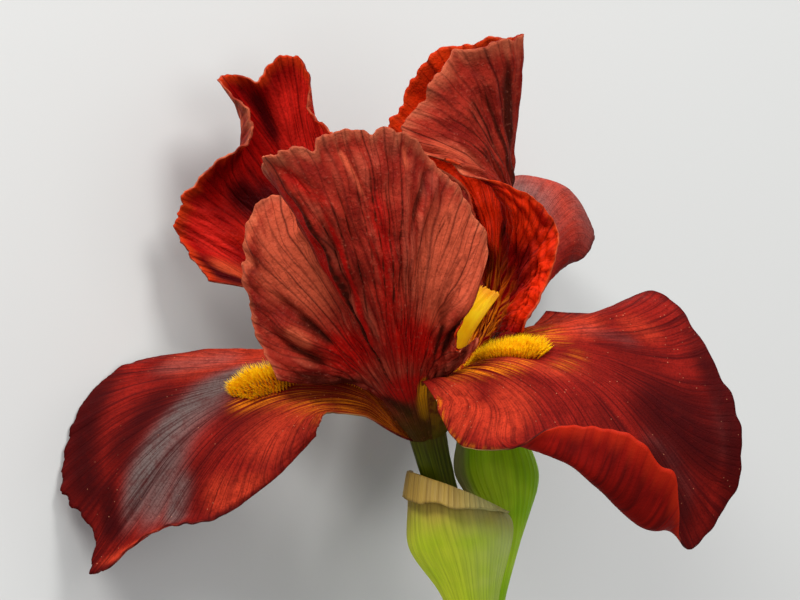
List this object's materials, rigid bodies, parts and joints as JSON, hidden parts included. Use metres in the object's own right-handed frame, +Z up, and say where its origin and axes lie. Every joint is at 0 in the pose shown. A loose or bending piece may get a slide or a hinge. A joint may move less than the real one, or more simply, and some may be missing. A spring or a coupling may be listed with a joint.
{
  "type": "bearded iris flower",
  "caption": "Cut bearded iris lying down: dark red ruffled standards and falls with yellow beards, on a short green stem with papery bracts.",
  "frame": {"origin": "centre of the bounding box's bottom face, on the surface the flower lies on", "axes": "+Y up the flower from the stem's cut end to the standards, +Z up from the surface, +X to the flower's right"},
  "size_m": [0.1332, 0.2216, 0.1069],
  "materials": {
    "standard": "satin, deep red",
    "fall": "velvety, dark red",
    "beard": "bristly, orange to yellow",
    "style": "satin, yellow-orange",
    "stamen": "powdery, cream",
    "tube": "waxy, dark green",
    "bract": "papery, pale green with a tan rim",
    "stem": "waxy, green"
  },
  "bodies": {
    "root": {"beard_back": "beard", "beard_left": "beard", "beard_right": "beard", "bract_back": "bract", "bract_front": "bract", "fall_back": "fall", "fall_left": "fall", "fall_right": "fall", "perianth_tube": "tube", "stamen_back": "stamen", "stamen_left": "stamen", "stamen_right": "stamen", "standard_front": "standard", "standard_left": "standard", "standard_right": "standard", "stem": "stem", "style_arm_back": "style", "style_arm_left": "style", "style_arm_right": "style"}
  },
  "joints": []
}
